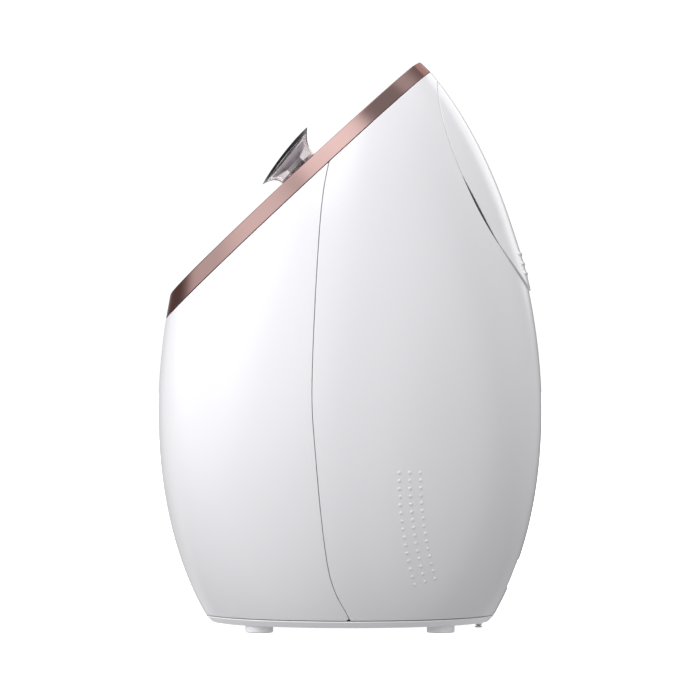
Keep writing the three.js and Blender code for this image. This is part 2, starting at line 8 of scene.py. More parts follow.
import bpy
import numpy as np
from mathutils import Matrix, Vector

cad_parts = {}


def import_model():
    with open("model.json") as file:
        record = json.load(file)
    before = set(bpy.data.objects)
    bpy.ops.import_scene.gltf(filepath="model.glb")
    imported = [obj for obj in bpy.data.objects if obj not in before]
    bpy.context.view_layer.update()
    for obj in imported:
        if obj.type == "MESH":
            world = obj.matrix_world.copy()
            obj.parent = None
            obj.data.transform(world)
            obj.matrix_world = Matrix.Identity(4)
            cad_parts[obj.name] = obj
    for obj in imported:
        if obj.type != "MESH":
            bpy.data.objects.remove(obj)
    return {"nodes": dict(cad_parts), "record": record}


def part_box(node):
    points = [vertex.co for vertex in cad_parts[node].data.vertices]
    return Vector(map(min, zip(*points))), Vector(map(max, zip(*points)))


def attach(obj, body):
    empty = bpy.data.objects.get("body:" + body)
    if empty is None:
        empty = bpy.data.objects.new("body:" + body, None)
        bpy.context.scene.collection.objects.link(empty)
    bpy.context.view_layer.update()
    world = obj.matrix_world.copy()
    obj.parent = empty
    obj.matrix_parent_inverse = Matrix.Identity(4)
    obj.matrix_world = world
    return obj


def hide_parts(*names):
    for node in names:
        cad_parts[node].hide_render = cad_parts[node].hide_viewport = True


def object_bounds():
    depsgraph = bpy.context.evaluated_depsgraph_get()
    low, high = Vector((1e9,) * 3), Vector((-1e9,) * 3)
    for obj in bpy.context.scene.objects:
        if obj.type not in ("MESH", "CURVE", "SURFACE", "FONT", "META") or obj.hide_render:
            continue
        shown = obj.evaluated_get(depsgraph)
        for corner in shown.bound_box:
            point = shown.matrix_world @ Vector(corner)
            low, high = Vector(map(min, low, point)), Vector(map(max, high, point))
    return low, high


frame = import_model()
cad_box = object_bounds()

# ---------------------------------------------------------------- sizes, from the frame

MM = 0.001
LOW, HIGH = cad_box
HALF_DEPTH = (HIGH.x - LOW.x) / 2
NARROW = (HIGH.y - LOW.y) / (HIGH.x - LOW.x)
SHELL_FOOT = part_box("front_shell")[0].z
PLATE_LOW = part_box("base_plate")[0].z
JOINTS = {joint["name"]: joint for joint in frame["record"]["behaviour"]["joints"]}

# The egg: greatest depth at WIDEST, and a power curve above it and below it.
WIDEST = 108 * MM
ABOVE = {"reach": 192 * MM, "power": 1.87, "root": 0.606}
BELOW = {"reach": 150 * MM, "power": 2.13, "root": 0.5}
WALL = 2.4 * MM

# The slope: OUT is its normal, UP runs up it, and heights are counted from the ring's top face.
OUT = np.array(JOINTS["nozzle_turn"]["axis"])
UP = np.array([OUT[2], 0.0, -OUT[0]])
ACROSS = np.array([0.0, 1.0, 0.0])
NOZZLE_AT = np.array(JOINTS["nozzle_turn"]["pos_m"])
NOZZLE_UP = 4 * MM
SLOPE_AT = NOZZLE_AT - NOZZLE_UP * UP
RING_DEEP = 7.4 * MM
PANEL_TOP = -1.2 * MM
PANEL_THICK = 2.4 * MM

# The seam between the front and rear shells, seen from the side: x and z in millimetres.
SEAM = np.array([(0, 7.1), (-10.3, 32), (-16.8, 92), (-17.9, 128), (-14.3, 198), (-9.9, 228), (-4, 246)])

# The oval tank cover, seen from behind.
TANK_MIDDLE = 210 * MM
TANK_HALF_WIDTH = 40 * MM
TANK_UP = 60 * MM
TANK_DOWN = 44 * MM
LIP_PROUD = 0.9 * MM
LIP_FROM = 200 * MM
RIBS = [184 * MM, 179.2 * MM, 174.4 * MM]
RIB_HALF_LENGTH = 17 * MM
RIB_HIGH = 0.55 * MM

# ---------------------------------------------------------------- small mathematics


def unit(v):
    return v / np.maximum(np.linalg.norm(v, axis=-1, keepdims=True), 1e-12)


def smooth(x):
    x = np.clip(x, 0, 1)
    return x * x * (3 - 2 * x)


def radius(z):
    """Half depth of the egg at a height."""
    z = np.asarray(z, float)
    up = z > WIDEST
    share = np.abs(z - WIDEST) / np.where(up, ABOVE["reach"], BELOW["reach"])
    power = np.where(up, ABOVE["power"], BELOW["power"])
    root = np.where(up, ABOVE["root"], BELOW["root"])
    return HALF_DEPTH * np.maximum(1 - np.clip(share, 0, 1) ** power, 1e-9) ** root


def egg_depth(p):
    """How far inside the egg a point lies, level with it."""
    return radius(p[:, 2]) - np.hypot(p[:, 0], p[:, 1] / NARROW)


def slope_height(p):
    return (p - SLOPE_AT) @ OUT


def on_slope(up, across, out):
    """Points given in the slope's own directions."""
    up, across, out = np.broadcast_arrays(up, across, out)
    return SLOPE_AT + up[..., None] * UP + across[..., None] * ACROSS + out[..., None] * OUT


def spline(points, count):
    """A smooth curve through the points (Catmull-Rom), sampled evenly along each span."""
    padded = np.vstack([2 * points[0] - points[1], points, 2 * points[-1] - points[-2]])
    rows = []
    for i in range(len(points) - 1):
        a, b, c, d = padded[i : i + 4]
        t = np.linspace(0, 1, count, endpoint=i == len(points) - 2)[:, None]
        rows.append(
            0.5 * (2 * b + (c - a) * t + (2 * a - 5 * b + 4 * c - d) * t**2 + (3 * b - a - 3 * c + d) * t**3)
        )
    return np.vstack(rows)


SEAM_LINE = spline(SEAM * MM, 12)


def behind_seam(p):
    """Distance behind the seam between the shells."""
    slope = np.gradient(SEAM_LINE[:, 0], SEAM_LINE[:, 1])
    x = np.interp(p[:, 2], SEAM_LINE[:, 1], SEAM_LINE[:, 0])
    lean = np.interp(p[:, 2], SEAM_LINE[:, 1], slope)
    return (p[:, 0] - x) / np.sqrt(1 + lean**2)


def inside_oval(p):
    """Distance inside the outline of the tank opening, seen along X."""
    up = p[:, 2] - TANK_MIDDLE
    tall = np.where(up > 0, TANK_UP, TANK_DOWN)
    f = np.hypot(p[:, 1] / TANK_HALF_WIDTH, up / tall) + 1e-9
    slope = np.hypot(p[:, 1] / TANK_HALF_WIDTH**2, up / tall**2) / f
    return (1 - f) / np.maximum(slope, 1e-6)


def rounded_box(p, middle, half, corner):
    """Distance outside a rounded rectangle in Y and Z."""
    q = np.abs(p[:, 1:3] - middle) - (np.array(half) - corner)
    return np.hypot(*np.maximum(q, 0).T) + np.minimum(q.max(1), 0) - corner


def rounded(corners, steps=4, closed=True):
    """An outline with its corners rounded: each corner is (x, y, radius), in millimetres."""
    out = []
    count = len(corners)
    for i, (x, y, r) in enumerate(corners):
        p = np.array([x, y], float)
        if not r or (not closed and i in (0, count - 1)):
            out.append(p)
            continue
        a = unit(np.array(corners[i - 1][:2]) - p)
        b = unit(np.array(corners[(i + 1) % count][:2]) - p)
        half = math.acos(np.clip(a @ b, -1, 1)) / 2
        start = p + a * r / math.tan(half)
        end = p + b * r / math.tan(half)
        centre = p + unit(a + b) * r / math.sin(half)
        sweep = math.pi - 2 * half
        for k in range(steps + 1):
            t = k / steps
            first, last = math.sin((1 - t) * sweep), math.sin(t * sweep)
            arm = (first * (start - centre) + last * (end - centre)) / math.sin(sweep)
            out.append(centre + arm)
    return np.array(out) * MM


# ---------------------------------------------------------------- meshes


def mesh_object(name, verts, tris, normals=None):
    """A smooth-shaded object, with a normal for each corner of each triangle if given."""
    data = bpy.data.meshes.new(name)
    data.from_pydata(verts.tolist(), [], tris.tolist())
    data.polygons.foreach_set("use_smooth", [True] * len(tris))
    if normals is not None:
        data.normals_split_custom_set(unit(normals).reshape(-1, 3).tolist())
    data.update()
    made = bpy.data.objects.new(name, data)
    bpy.context.collection.objects.link(made)
    return made


def split_at(q, tris, g, level, measure):
    """Splits the triangles where the measure crosses a level."""
    g = np.where(np.abs(g - level) < 0.008 * MM, level, g)
    side = np.sign(g - level)
    edges = np.sort(tris[:, [0, 1, 1, 2, 2, 0]].reshape(-1, 2), axis=1)
    crossing = side[edges[:, 0]] * side[edges[:, 1]] < 0
    found, back = np.unique(edges[crossing], axis=0, return_inverse=True)
    if not len(found):
        return q, tris, g
    a, b = q[found[:, 0]], q[found[:, 1]]
    low, high = np.zeros(len(a)), np.ones(len(a))
    start = side[found[:, 0]]
    for _ in range(18):
        t = (low + high) / 2
        near = np.sign(measure(a + (b - a) * t[:, None]) - level) == start
        low, high = np.where(near, t, low), np.where(near, high, t)
    fresh = a + (b - a) * ((low + high) / 2)[:, None]
    mid = np.full(len(edges), -1)
    mid[crossing] = back.reshape(-1) + len(q)
    mid = mid.reshape(-1, 3)
    mixed = (mid >= 0).any(1)
    made = []
    for tri, m in zip(tris[mixed], mid[mixed]):
        for turn in range(3):
            v = np.roll(tri, -turn)
            e = np.roll(m, -turn)
            if e[0] >= 0 and e[2] >= 0:
                made += [(v[0], e[0], e[2]), (e[0], v[1], v[2]), (e[0], v[2], e[2])]
                break
            if e[0] >= 0 and e[1] < 0 and e[2] < 0:
                made += [(v[0], e[0], v[2]), (e[0], v[1], v[2])]
                break
    tris = np.vstack([tris[~mixed], np.array(made)])
    return np.vstack([q, fresh]), tris, np.concatenate([g, np.full(len(fresh), level)])


def sheet_grid(a, b):
    """A grid of parameters and its triangles."""
    grid = np.stack(np.meshgrid(a, b, indexing="ij"), -1).reshape(-1, 2)
    index = np.arange(len(a) * len(b)).reshape(len(a), len(b))
    corners = (index[:-1, :-1], index[1:, :-1], index[1:, 1:], index[:-1, 1:])
    p, r, s, t = (x.reshape(-1) for x in corners)
    return grid, np.vstack([np.stack([p, r, s], 1), np.stack([p, s, t], 1)])


ANGLE_STEP, METRE_STEP = 1e-4, 1e-6  # how far a surface's parameters are moved to find its normal


def frame_of(place, q):
    """Points of a surface and its outward normals, for parameters q."""
    first_step = METRE_STEP if place is flat_sheet else ANGLE_STEP
    step = np.diag([first_step, METRE_STEP])
    first = place(q + step[0]) - place(q - step[0])
    second = place(q + step[1]) - place(q - step[1])
    return place(q), unit(np.cross(first, second))


def trimmed(name, grid, place, inside, edge=0.3 * MM, wall=WALL):
    """A wall with a rounded edge, whose outer face is where inside() is positive on a surface."""
    q, tris = grid

    def measure(params):
        return inside(place(params))

    g = measure(q)
    keep = (g[tris] > -6 * MM).any(1) & (g[tris].max(1) > 0)
    tris = tris[keep]
    q, tris, g = split_at(q, tris, g, 0.0, measure)
    tris = tris[g[tris].min(1) >= 0]
    for lean in (60, 30, 0):
        q, tris, g = split_at(q, tris, g, edge * (1 - math.sin(math.radians(lean))), measure)
    used = np.unique(tris)
    index = np.full(len(q), -1)
    index[used] = np.arange(len(used))
    q, g, tris = q[used], g[used], index[tris]
    p, n = frame_of(place, q)
    area = np.linalg.norm(np.cross(p[tris[:, 1]] - p[tris[:, 0]], p[tris[:, 2]] - p[tris[:, 0]]), axis=1)
    tris = tris[area > 1e-14]
    tilt = 0.02 * MM
    slope = np.stack([inside(p + tilt * axis) - inside(p - tilt * axis) for axis in np.eye(3)], 1)
    side = -unit(slope - (slope * n).sum(1, keepdims=True) * n)
    lean = np.clip((edge - g) / edge, 0, 1)[:, None]
    outer = p - n * edge * (1 - np.sqrt(1 - lean**2))
    inner = p - n * wall
    shade = n * np.sqrt(1 - lean**2) + side * lean
    count = len(p)
    edges = tris[:, [0, 1, 1, 2, 2, 0]].reshape(-1, 2)
    keys = np.sort(edges, axis=1)
    _, back, uses = np.unique(keys, axis=0, return_inverse=True, return_counts=True)
    rim = edges[uses[back.reshape(-1)] == 1]
    a, b = rim.T
    walls = np.vstack([np.stack([a, a + count, b + count], 1), np.stack([a, b + count, b], 1)])
    verts = np.vstack([outer, inner])
    faces = np.vstack([tris, walls, tris[:, ::-1] + count])
    both = np.vstack([side, side])
    normals = np.vstack([shade[tris], both[walls], -n[tris[:, ::-1]]])
    return mesh_object(name, verts, faces, normals)


def woven(grid, closed_rows=True, crease=40):
    """Verts, triangles and corner normals of a grid of rows and closed columns."""
    rows, cols = grid.shape[:2]
    spans = rows if closed_rows else rows - 1
    pole = [np.ptp(grid[i], axis=0).max() < 1e-9 for i in range(rows)]
    index = np.zeros((rows, cols), int)
    verts = []
    for i in range(rows):
        index[i] = len(verts) if pole[i] else np.arange(cols) + len(verts)
        verts.extend(grid[i][:1] if pole[i] else grid[i])
    faces_out, length = [], []
    for j in range(spans):
        a, b = grid[j], grid[(j + 1) % rows]
        middle = (a + b) / 2
        around = np.roll(middle, -1, 0) - np.roll(middle, 1, 0)
        faces_out.append(unit(np.cross(around, b - a)))
        length.append(np.linalg.norm(b - a, axis=1).mean())
    limit = math.cos(math.radians(crease))

    def blended(j, other):
        if not closed_rows and not 0 <= other < spans:
            return faces_out[j]
        k = other % spans
        close = (faces_out[j] * faces_out[k]).sum(1, keepdims=True) > limit
        mixed = unit(faces_out[j] * length[j] + faces_out[k] * length[k])
        return np.where(close, mixed, faces_out[j])

    tris, normals = [], []
    nxt = np.roll(np.arange(cols), -1)
    for j in range(spans):
        k = (j + 1) % rows
        start, end = blended(j, j - 1), blended(j, j + 1)
        if pole[j]:
            start = np.broadcast_to(unit(start.mean(0)), start.shape)
        if pole[k]:
            end = np.broadcast_to(unit(end.mean(0)), end.shape)
        a, a2, b, b2 = index[j], index[j][nxt], index[k], index[k][nxt]
        if not pole[j]:
            tris.append(np.stack([a, a2, b2], 1))
            normals.append(np.stack([start, start[nxt], end[nxt]], 1))
        if not pole[k]:
            tris.append(np.stack([a, b2, b], 1))
            normals.append(np.stack([start, end[nxt], end], 1))
    return np.array(verts), np.vstack(tris), np.vstack(normals)


def gathered(name, parts):
    """One object from several (verts, tris, normals)."""
    verts, tris, normals, base = [], [], [], 0
    for v, t, n in parts:
        verts.append(v)
        tris.append(t + base)
        normals.append(n)
        base += len(v)
    return mesh_object(name, np.vstack(verts), np.vstack(tris), np.vstack(normals))


def upright(x=0.0, y=0.0, z=0.0):
    """Places turned points about a vertical axis at x, y."""
    return lambda p: p + np.array([x, y, z])


def along_slope(up=0.0, across=0.0):
    """Places turned points about the slope's normal, at a place on the slope."""
    return lambda p: on_slope(p[..., 0] + up, p[..., 1] + across, p[..., 2])


def turned_part(profile, place, sides=64, closed=True, squeeze=1.0):
    """A profile of (radius, height) turned about an axis."""
    angle = np.linspace(0, 2 * math.pi, sides, endpoint=False)
    r, h = profile[:, 0][:, None], profile[:, 1][:, None]
    ring = np.stack([r * np.cos(angle), r * np.sin(angle) * squeeze, h + 0 * angle], -1)
    return woven(place(ring), closed_rows=closed)


def turned(name, profile, place, sides=64, closed=True, squeeze=1.0):
    return gathered(name, [turned_part(profile, place, sides, closed, squeeze)])


def tidy_shading(made, bevel=0.0, crease=35):
    """Rounds the sharp edges of a faceted piece a little, and shades it smooth between them."""
    for face in made.data.polygons:
        face.use_smooth = True
    if bevel:
        rounding = made.modifiers.new("edges", "BEVEL")
        rounding.width = bevel
        rounding.segments = 2
        rounding.limit_method = "ANGLE"
        rounding.angle_limit = math.radians(crease)
        rounding.use_clamp_overlap = True
    weighted = made.modifiers.new("shading", "WEIGHTED_NORMAL")
    weighted.keep_sharp = True
    weighted.weight = 80
    return made


# ---------------------------------------------------------------- materials


def srgb(*rgb):
    """Linear colour from 0 to 255 display values."""
    return [(c / 255 / 12.92 if c <= 10 else ((c / 255 + 0.055) / 1.055) ** 2.4) for c in rgb]


def finish(
    name,
    color,
    rough,
    metallic=0.0,
    tone=0.03,
    patch=18,
    grain=900,
    bump=0.02,
    see=0.0,
    ior=1.49,
    soft=0.0,
    edge=None,
):
    """A moulded, plated or turned finish: slow changes of tone and gloss, and a fine surface grain."""
    made = bpy.data.materials.new(name)
    made.use_nodes = True
    tree = made.node_tree
    shader = tree.nodes["Principled BSDF"]
    where = tree.nodes.new("ShaderNodeTexCoord")
    slow = tree.nodes.new("ShaderNodeTexNoise")
    slow.inputs["Scale"].default_value = patch
    slow.inputs["Detail"].default_value = 3
    tree.links.new(where.outputs["Object"], slow.inputs["Vector"])
    colors = tree.nodes.new("ShaderNodeValToRGB")
    for stop, k in ((0, 1 - tone), (1, 1 + tone)):
        colors.color_ramp.elements[stop].color = [min(c * k, 1) for c in color] + [1]
    colors.color_ramp.elements[0].position = 0.3
    colors.color_ramp.elements[1].position = 0.7
    tree.links.new(slow.outputs["Fac"], colors.inputs["Fac"])
    tree.links.new(colors.outputs["Color"], shader.inputs["Base Color"])
    gloss = tree.nodes.new("ShaderNodeMapRange")
    gloss.inputs["From Min"].default_value = 0.3
    gloss.inputs["From Max"].default_value = 0.7
    gloss.inputs["To Min"].default_value = rough * 0.88
    gloss.inputs["To Max"].default_value = rough * 1.12
    tree.links.new(slow.outputs["Fac"], gloss.inputs["Value"])
    tree.links.new(gloss.outputs["Result"], shader.inputs["Roughness"])
    fine = tree.nodes.new("ShaderNodeTexNoise")
    fine.inputs["Scale"].default_value = grain
    fine.inputs["Detail"].default_value = 2
    tree.links.new(where.outputs["Object"], fine.inputs["Vector"])
    relief = tree.nodes.new("ShaderNodeBump")
    relief.inputs["Strength"].default_value = bump
    relief.inputs["Distance"].default_value = 0.1 * MM
    tree.links.new(fine.outputs["Fac"], relief.inputs["Height"])
    tree.links.new(relief.outputs["Normal"], shader.inputs["Normal"])
    shader.inputs["Metallic"].default_value = metallic
    shader.inputs["IOR"].default_value = ior
    if edge:
        shader.inputs["Specular Tint"].default_value = (*edge, 1)
    if see:
        shader.inputs["Transmission Weight"].default_value = see
    if soft:
        shader.inputs["Subsurface Weight"].default_value = soft
        shader.inputs["Subsurface Scale"].default_value = 2 * MM
    return made


def tinted(name, color, density):
    """A thin clear wall, darker where the light goes a longer way through it."""
    made = finish(name, (0.97, 0.965, 0.965), 0.02, tone=0.01, bump=0.0, see=1.0, ior=1.05)
    tree = made.node_tree
    shader = tree.nodes["Principled BSDF"]
    shader.inputs["Coat Weight"].default_value = 0.6
    shader.inputs["Coat IOR"].default_value = 1.5
    shader.inputs["Coat Roughness"].default_value = 0.03
    depth = tree.nodes.new("ShaderNodeVolumeAbsorption")
    depth.inputs["Color"].default_value = (*color, 1)
    depth.inputs["Density"].default_value = density
    tree.links.new(depth.outputs["Volume"], tree.nodes["Material Output"].inputs["Volume"])
    return made


WHITE = finish("white_gloss_abs", srgb(236, 235, 239), 0.13, tone=0.006, patch=9, grain=500, bump=0.01)
BASE = finish("base_abs", srgb(250, 249, 252), 0.32, tone=0.012, bump=0.05)
ROSE = finish(
    "rose_gold_plate",
    srgb(138, 115, 112),
    0.13,
    metallic=1,
    tone=0.02,
    patch=30,
    bump=0.012,
    edge=(0.6, 0.44, 0.42),
)
# Painted shade: the panel is the white gloss plastic made greyer, against the strong light that falls on the
# slope.
PANEL = finish("panel_gloss_painted_shade", srgb(210, 209, 214), 0.1, tone=0.006, patch=9, bump=0.01)
SMOKE = tinted("smoke_polycarbonate", (0.5, 0.38, 0.4), 190)
BOWL = finish("smoke_bowl", srgb(204, 198, 201), 0.12, tone=0.03, bump=0.0)
RIM = finish("smoke_rim", srgb(22, 18, 19), 0.07, tone=0.04, bump=0.0, ior=1.25)
DARK = finish("dark_smoke_plastic", srgb(58, 48, 48), 0.2, tone=0.05, bump=0.02)
CLEAR = finish("clear_plastic", srgb(232, 238, 242), 0.04, tone=0.01, bump=0.004, see=0.92)
LINER = finish("bay_liner", srgb(92, 91, 96), 0.42, tone=0.03, bump=0.08)
INNER = finish("natural_moulding", srgb(226, 223, 218), 0.42, tone=0.02, bump=0.06)
RUBBER = finish("grey_rubber", srgb(238, 237, 241), 0.7, tone=0.05, patch=60, grain=1500, bump=0.2)
SILICONE = finish("translucent_silicone", srgb(206, 203, 203), 0.45, tone=0.03, bump=0.06, soft=0.3)
STEEL = finish("plated_steel", srgb(190, 192, 196), 0.26, metallic=1, tone=0.06, patch=300, bump=0.05)
CAST = finish(
    "cast_aluminium", srgb(186, 188, 190), 0.4, metallic=1, tone=0.05, patch=80, grain=700, bump=0.2
)
BLACK = finish("black_moulding", srgb(38, 38, 41), 0.45, tone=0.06, grain=1200, bump=0.12)
BOARD = finish("circuit_laminate", srgb(44, 104, 68), 0.4, tone=0.12, patch=160, bump=0.05)
LED = finish("led_package", srgb(244, 243, 232), 0.25, tone=0.02, patch=200)

FINISHES = {
    "white_shell": WHITE,
    "base_plastic": BASE,
    "rose_gold": ROSE,
    "panel": PANEL,
    "smoke": SMOKE,
    "dark_smoke": DARK,
    "clear_tank": CLEAR,
    "bay_liner": LINER,
    "inner_plastic": INNER,
    "rubber_foot": RUBBER,
    "silicone": SILICONE,
    "steel": STEEL,
    "boiler_metal": CAST,
    "black_plastic": BLACK,
    "circuit_board": BOARD,
    "led": LED,
}
SLOTS = {row["node"]: row["material_slot"] for row in frame["record"]["subparts"]}
BODIES = frame["record"]["behaviour"]["bodies"]
BODY_OF = {node: body for body, nodes in BODIES.items() for node in nodes}


def stands_for(made, *nodes, material=None):
    """Gives a piece the finish and the body of the CAD nodes that it stands for."""
    slot = SLOTS[nodes[0]]
    made.data.materials.clear()
    made.data.materials.append(material or FINISHES[slot])
    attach(made, BODY_OF[nodes[0]])
    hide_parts(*nodes)
    return made


def goes_with(made, node, material=None):
    """Gives an extra piece the finish and the body of a CAD node that stays."""
    made.data.materials.append(material or FINISHES[SLOTS[node]])
    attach(made, BODY_OF[node])
    return made


# ---------------------------------------------------------------- shells


def egg_sheet(params, relief=None):
    """Points of the egg's outer face for angle and height, standing proud by relief."""
    angle, z = params.T
    r = radius(z)
    p = np.stack([r * np.cos(angle), NARROW * r * np.sin(angle), z], 1)
    if relief is None:
        return p
    rise = (radius(z + 0.1 * MM) - radius(z - 0.1 * MM)) / (0.2 * MM)
    n = unit(np.stack([np.cos(angle), np.sin(angle) / NARROW, -rise], 1))
    return p + n * relief(p)[:, None]


def flat_sheet(params):
    """Points of the panel's flat top face."""
    up, across = params.T
    return on_slope(up, across, PANEL_TOP + 0 * up)


HEIGHTS = np.linspace(SHELL_FOOT - 2 * MM, HIGH.z + 3 * MM, 190)
SHELL_GAP = 0.15 * MM
INLET_LOW, INLET_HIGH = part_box("power_inlet")
INLET_MIDDLE = np.array([0.0, (INLET_LOW.z + INLET_HIGH.z) / 2])
INLET_HALF = np.array([INLET_HIGH.y - 2 * MM, (INLET_HIGH.z - INLET_LOW.z) / 2 - 2 * MM])
INLET_CORNER = 1.5 * MM


def shell_edges(p):
    """Distance inside both level edges that the two shells share."""
    return np.minimum(p[:, 2] - SHELL_FOOT, -RING_DEEP - 0.2 * MM - slope_height(p))


def front_shell():
    grid = sheet_grid(np.linspace(0.2, 2 * math.pi - 0.2, 300), HEIGHTS)
    made = trimmed(
        "front_shell_skin",
        grid,
        egg_sheet,
        lambda p: np.minimum(shell_edges(p), -behind_seam(p) - SHELL_GAP),
        edge=0.25 * MM,
    )
    return stands_for(made, "front_shell")


FINE_GAP = 0.22 * MM
FINGER_ROOM = 1.4 * MM
FINGERS_FROM = 186 * MM
FINGERS_TALL = 37 * MM


def finger_gap(p):
    """The gap round the tank cover: fine, and wider for the fingertips halfway down each side."""
    along = np.clip((p[:, 2] - FINGERS_FROM) / FINGERS_TALL, 0, 1)
    return FINE_GAP + FINGER_ROOM * np.sin(math.pi * along) ** 1.5


def rear_shell():
    grid = sheet_grid(np.linspace(-math.pi + 0.2, math.pi - 0.2, 300), HEIGHTS)

    def inside(p):
        body = np.minimum(shell_edges(p), behind_seam(p) - SHELL_GAP)
        back = p[:, 0] > 0
        tank = np.where(back, -inside_oval(p), 1.0)
        inlet = np.where(back, rounded_box(p, INLET_MIDDLE, INLET_HALF + 0.15 * MM, INLET_CORNER), 1.0)
        return np.minimum(np.minimum(body, tank), inlet)

    made = trimmed("rear_shell_skin", grid, egg_sheet, inside, edge=0.25 * MM)
    return stands_for(made, "rear_shell")


def cover_relief(p):
    """The cover's lower lip stands proud of the shell, and carries three fine ribs."""
    fall = (LIP_FROM - p[:, 2]) / (LIP_FROM - (TANK_MIDDLE - TANK_DOWN))
    rise = LIP_PROUD * smooth(fall)
    ends = smooth((RIB_HALF_LENGTH - np.abs(p[:, 1])) / (4 * MM))
    fade = smooth(inside_oval(p) / (3 * MM)) * ends
    for z in RIBS:
        ridge = np.exp(-(((p[:, 2] - z) / (0.75 * MM)) ** 2))
        rise = rise + RIB_HIGH * ridge * fade
    return rise


def tank_cover():
    low = TANK_MIDDLE - TANK_DOWN
    fine = np.arange(low - 1 * MM, 188 * MM, 0.22 * MM)
    coarse = np.linspace(188.3 * MM, TANK_MIDDLE + TANK_UP + 1 * MM, 70)
    grid = sheet_grid(np.linspace(-1.15, 1.15, 170), np.concatenate([fine, coarse]))
    made = trimmed(
        "tank_cover_skin",
        grid,
        lambda params: egg_sheet(params, cover_relief),
        lambda p: inside_oval(p) - finger_gap(p),
        edge=0.35 * MM,
    )
    return stands_for(made, "tank_cover")


def gap_shade_strip():
    """Painted shade: a black strip just under the surface, riding with the bay, that shows in the finger gap
    on each side of the cover and darkens it.
    """
    grid = sheet_grid(np.linspace(-0.8, 0.8, 420), np.arange(185 * MM, 225 * MM, 0.35 * MM))

    def inside(p):
        depth = inside_oval(p)
        room = finger_gap(p) - 0.3 * MM
        return np.minimum(np.minimum(depth - 0.05 * MM, finger_gap(p) - 0.1 * MM - depth), room)

    made = trimmed(
        "tank_bay_gap_painted_shade",
        grid,
        lambda params: egg_sheet(params, lambda p: -0.16 * MM + 0 * p[:, 2]),
        inside,
        edge=0.04 * MM,
        wall=1.5 * MM,
    )
    # black, to paint the shade in the finger gap
    return goes_with(made, "tank_bay", BLACK)


def dome_part(point, normal, wide, high):
    """A small raised dome on the shell, with a soft foot."""
    side = unit(np.cross(normal, [0, 0, 1.0]))
    other = np.cross(normal, side)
    t = np.linspace(0, 1, 7)
    r = wide / 2 * np.cos(t * math.pi / 2)
    h = high * np.sin(t * math.pi / 2)
    profile = np.vstack([[0, -0.4 * MM], [wide / 2 * 1.02, -0.4 * MM], np.stack([r, h], 1)])
    profile[-1, 0] = 0

    def place(ring):
        x, y, z = ring[..., :1], ring[..., 1:2], ring[..., 2:]
        return point + x * side + y * other * -1 + z * normal

    return turned_part(profile, place, sides=16, closed=False)


DOT_WIDE, DOT_HIGH = 1.75 * MM, 0.34 * MM


def grip_dots(side):
    """Three columns of fifteen domes low on the side, the columns curving to the back as they fall."""
    rows, pitch_down, pitch_across = 15, 3.76 * MM, 5.1 * MM
    top, middle, curve = 78.6 * MM, 28.5 * MM, 7.4 * MM
    drop = pitch_down * (rows - 1)
    parts = []
    for row in range(rows):
        t = row / (rows - 1)
        lean = 2 * curve * t / drop
        step = unit(np.array([1.0, lean]))
        for column in (-1, 0, 1):
            x = middle + curve * t**2 + column * pitch_across * step[0]
            z = top - drop * t + column * pitch_across * step[1]
            angle = side * math.acos(x / float(radius(z)))
            p, n = frame_of(egg_sheet, np.array([[angle, z]]))
            parts.append(dome_part(p[0], n[0], DOT_WIDE, DOT_HIGH))
    return goes_with(gathered(f"grip_dots_{'left' if side < 0 else 'right'}", parts), "rear_shell")


# ---------------------------------------------------------------- ring, panel and what is in it


def ring_grid(outline, columns=420):
    """A closed outline of (inset, height) carried round the egg in planes parallel to the slope."""
    angle = np.linspace(0, 2 * math.pi, columns, endpoint=False)
    inset, height = (outline[:, i][:, None] + 0 * angle for i in (0, 1))
    near, far = 0 * inset, 0 * inset + 150 * MM
    for _ in range(40):
        reach = (near + far) / 2
        p = on_slope(reach * np.cos(angle), reach * np.sin(angle), height)
        within = egg_depth(p.reshape(-1, 3)).reshape(reach.shape) > inset
        near, far = np.where(within, reach, near), np.where(within, far, reach)
    return p


def trim_ring():
    deep = RING_DEEP / MM
    outline = rounded([
        (0, -deep, 0.25),
        (0, 0, 0.55),
        (3.2, 0, 0.45),
        (3.2, -4, 0),
        (5.2, -4, 0.3),
        (5.2, -11, 0.3),
        (2.75, -11, 0.3),
        (2.75, -deep, 0),
    ])
    grid = ring_grid(outline)
    # The CAD ring is faceted and ends a little lower, so the last of the upper tip is pressed down.
    tip = 3 * MM
    over = grid[..., 2].max() - HIGH.z
    grid[..., 2] -= np.maximum(grid[..., 2] - HIGH.z + tip, 0) * over / (tip + over)
    made = gathered("trim_ring_band", [woven(grid[::-1])])
    return stands_for(made, "trim_ring")


COLLAR_RADIUS = 14 * MM
BUTTON_UP = -46 * MM
BUTTON_ACROSS = 12 * MM
BUTTON_RADIUS = 6 * MM
LENS_UP = -58 * MM
LENS_RADIUS = 1.6 * MM


def face_panel():
    along = np.linspace(-86 * MM, 82 * MM, 240)
    across = np.linspace(-66 * MM, 66 * MM, 190)
    holes = [
        (NOZZLE_UP, 0, COLLAR_RADIUS + 0.2 * MM),
        (BUTTON_UP, BUTTON_ACROSS, BUTTON_RADIUS + 0.3 * MM),
        (BUTTON_UP, -BUTTON_ACROSS, BUTTON_RADIUS + 0.3 * MM),
        (LENS_UP, 0, LENS_RADIUS + 0.2 * MM),
    ]

    def inside(p):
        up = (p - SLOPE_AT) @ UP
        nearest = egg_depth(p) - 3.45 * MM
        for x, y, r in holes:
            nearest = np.minimum(nearest, np.hypot(up - x, p[:, 1] - y) - r)
        return nearest

    grid = sheet_grid(along, across)
    made = trimmed("face_panel_plate", grid, flat_sheet, inside, 0.3 * MM, PANEL_THICK)
    return stands_for(made, "face_panel")


